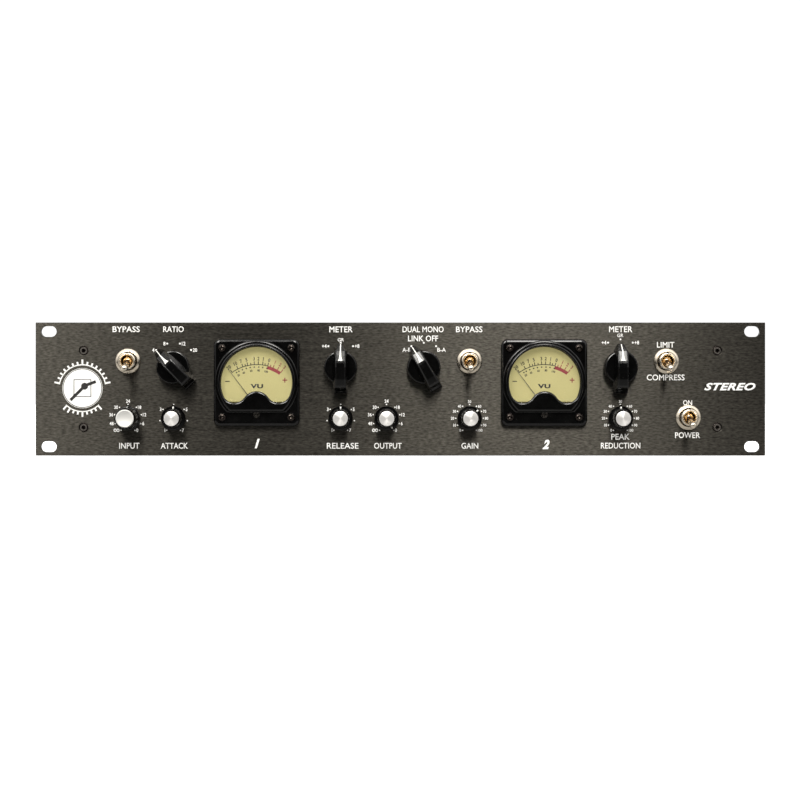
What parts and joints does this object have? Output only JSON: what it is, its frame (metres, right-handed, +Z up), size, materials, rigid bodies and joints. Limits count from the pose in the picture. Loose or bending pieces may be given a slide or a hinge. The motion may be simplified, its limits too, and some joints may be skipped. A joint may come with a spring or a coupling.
{
  "type": "rack compressor",
  "caption": "Rack-mounted audio compressor: slotted panel with pointer knobs, toggles and round-faced level meters on a closed sheet-metal case.",
  "frame": {"origin": "centre of the four rack slots, on the panel's mounting face", "axes": "+X to the right seen from the front, +Y into the rack, +Z up"},
  "size_m": [0.4826, 0.2568, 0.0882],
  "materials": {
    "panel_anodised": "black anodised, brushed level",
    "screw_black": "black oxide",
    "case_paint": "fine textured black powder coat",
    "board_laminate": "green solder mask",
    "standoff_steel": "plain",
    "capacitor_sleeve": "shrunk sleeve",
    "winding_tape": "amber winding tape",
    "socket_shell": "satin nickel",
    "socket_plastic": "moulded black",
    "bezel_gloss": "polished black",
    "lens_clear": "clear acrylic",
    "dial_cream": "printed pale yellow card",
    "needle_black": "matt black",
    "can_steel": "tinned",
    "switch_plastic": "phenolic",
    "nickel_plate": "warm bright nickel",
    "knob_gloss": "polished black",
    "shaft_brass": "turned",
    "cap_spun": "spun face",
    "cap_satin": "satin face, bright rim"
  },
  "bodies": {
    "chassis": {"front_panel": "panel_anodised", "panel_screws": "screw_black", "pan_screws": "screw_black", "case_tray": "case_paint", "top_cover": "case_paint", "rear_panel": "case_paint", "main_board": "board_laminate", "board_standoffs": "standoff_steel", "capacitors": "capacitor_sleeve", "audio_transformers": "standoff_steel", "opto_cell": "capacitor_sleeve", "power_transformer": "winding_tape", "input_sockets": "socket_shell", "output_sockets": "socket_shell", "jack_sockets": "socket_plastic", "mains_inlet": "socket_plastic", "meter_bezels": "bezel_gloss", "meter_lenses": "lens_clear", "meter_dials": "dial_cream", "meter_cans": "can_steel", "meter_movements": "standoff_steel", "potentiometers": "can_steel", "selector_switches": "switch_plastic", "toggle_switches": "nickel_plate", "panel_nuts": "nickel_plate"},
    "ratio_selector": {"ratio_knob": "knob_gloss", "ratio_shaft": "shaft_brass"},
    "left_meter_selector": {"left_meter_knob": "knob_gloss", "left_meter_shaft": "shaft_brass"},
    "link_selector": {"link_knob": "knob_gloss", "link_shaft": "shaft_brass"},
    "right_meter_selector": {"right_meter_knob": "knob_gloss", "right_meter_shaft": "shaft_brass"},
    "input_control": {"input_knob": "knob_gloss", "input_cap": "cap_satin", "input_shaft": "shaft_brass"},
    "attack_control": {"attack_knob": "knob_gloss", "attack_cap": "cap_spun", "attack_shaft": "shaft_brass"},
    "release_control": {"release_knob": "knob_gloss", "release_cap": "cap_spun", "release_shaft": "shaft_brass"},
    "output_control": {"output_knob": "knob_gloss", "output_cap": "cap_spun", "output_shaft": "shaft_brass"},
    "gain_control": {"gain_knob": "knob_gloss", "gain_cap": "cap_spun", "gain_shaft": "shaft_brass"},
    "peak_control": {"peak_knob": "knob_gloss", "peak_cap": "cap_spun", "peak_shaft": "shaft_brass"},
    "left_bypass_toggle": {"left_bypass_lever": "nickel_plate"},
    "right_bypass_toggle": {"right_bypass_lever": "nickel_plate"},
    "limit_toggle": {"limit_lever": "nickel_plate"},
    "power_toggle": {"power_lever": "nickel_plate"},
    "left_pointer": {"left_needle": "needle_black"},
    "left_zero": {"left_zero_screw": "bezel_gloss"},
    "right_pointer": {"right_needle": "needle_black"},
    "right_zero": {"right_zero_screw": "bezel_gloss"},
    "fuse_holder": {"fuse_drawer": "socket_plastic"}
  },
  "joints": [
    {"name": "ratio_turn", "type": "hinge", "parent": "chassis", "child": "ratio_selector", "pos_m": [-0.15001, -0.01, 0.0143], "axis": [0, 1, 0], "range_deg": [0, 90]},
    {"name": "left_meter_turn", "type": "hinge", "parent": "chassis", "child": "left_meter_selector", "pos_m": [-0.03951, -0.01, 0.0143], "axis": [0, 1, 0], "range_deg": [-30, 30]},
    {"name": "link_turn", "type": "hinge", "parent": "chassis", "child": "link_selector", "pos_m": [0.01539, -0.01, 0.0143], "axis": [0, 1, 0], "range_deg": [0, 60]},
    {"name": "right_meter_turn", "type": "hinge", "parent": "chassis", "child": "right_meter_selector", "pos_m": [0.1455, -0.01, 0.0143], "axis": [0, 1, 0], "range_deg": [-30, 30]},
    {"name": "input_turn", "type": "hinge", "parent": "chassis", "child": "input_control", "pos_m": [-0.18019, -0.01, -0.0193], "axis": [0, 1, 0], "range_deg": [-150, 150]},
    {"name": "attack_turn", "type": "hinge", "parent": "chassis", "child": "attack_control", "pos_m": [-0.15001, -0.01, -0.0193], "axis": [0, 1, 0], "range_deg": [-150, 150]},
    {"name": "release_turn", "type": "hinge", "parent": "chassis", "child": "release_control", "pos_m": [-0.03951, -0.01, -0.0193], "axis": [0, 1, 0], "range_deg": [-150, 150]},
    {"name": "output_turn", "type": "hinge", "parent": "chassis", "child": "output_control", "pos_m": [-0.0092, -0.01, -0.0193], "axis": [0, 1, 0], "range_deg": [-300, 0]},
    {"name": "gain_turn", "type": "hinge", "parent": "chassis", "child": "gain_control", "pos_m": [0.04571, -0.01, -0.0193], "axis": [0, 1, 0], "range_deg": [-195, 105]},
    {"name": "peak_turn", "type": "hinge", "parent": "chassis", "child": "peak_control", "pos_m": [0.1455, -0.01, -0.0193], "axis": [0, 1, 0], "range_deg": [-150, 150]},
    {"name": "left_bypass_throw", "type": "hinge", "parent": "chassis", "child": "left_bypass_toggle", "pos_m": [-0.18019, -0.0045, 0.0185], "axis": [-1, 0, 0], "range_deg": [0, 32]},
    {"name": "right_bypass_throw", "type": "hinge", "parent": "chassis", "child": "right_bypass_toggle", "pos_m": [0.04571, -0.0045, 0.0185], "axis": [-1, 0, 0], "range_deg": [0, 32]},
    {"name": "limit_throw", "type": "hinge", "parent": "chassis", "child": "limit_toggle", "pos_m": [0.17581, -0.0045, 0.0185], "axis": [-1, 0, 0], "range_deg": [0, 32]},
    {"name": "power_throw", "type": "hinge", "parent": "chassis", "child": "power_toggle", "pos_m": [0.19029, -0.0045, -0.0187], "axis": [-1, 0, 0], "range_deg": [0, 32]},
    {"name": "left_needle_swing", "type": "hinge", "parent": "chassis", "child": "left_pointer", "pos_m": [-0.09491, -0.005, -0.01185], "axis": [0, 1, 0], "range_deg": [0, 76], "stiffness_Nm_per_rad": 0.0002},
    {"name": "left_zero_turn", "type": "hinge", "parent": "chassis", "child": "left_zero", "pos_m": [-0.09491, -0.007, -0.0169], "axis": [0, 1, 0], "range_deg": [-60, 60]},
    {"name": "right_needle_swing", "type": "hinge", "parent": "chassis", "child": "right_pointer", "pos_m": [0.09491, -0.005, -0.01185], "axis": [0, 1, 0], "range_deg": [0, 76], "stiffness_Nm_per_rad": 0.0002},
    {"name": "right_zero_turn", "type": "hinge", "parent": "chassis", "child": "right_zero", "pos_m": [0.09491, -0.007, -0.0169], "axis": [0, 1, 0], "range_deg": [-60, 60]},
    {"name": "fuse_drawer_slide", "type": "slide", "parent": "chassis", "child": "fuse_holder", "axis": [0, 1, 0], "range_m": [0, 0.02]}
  ]
}
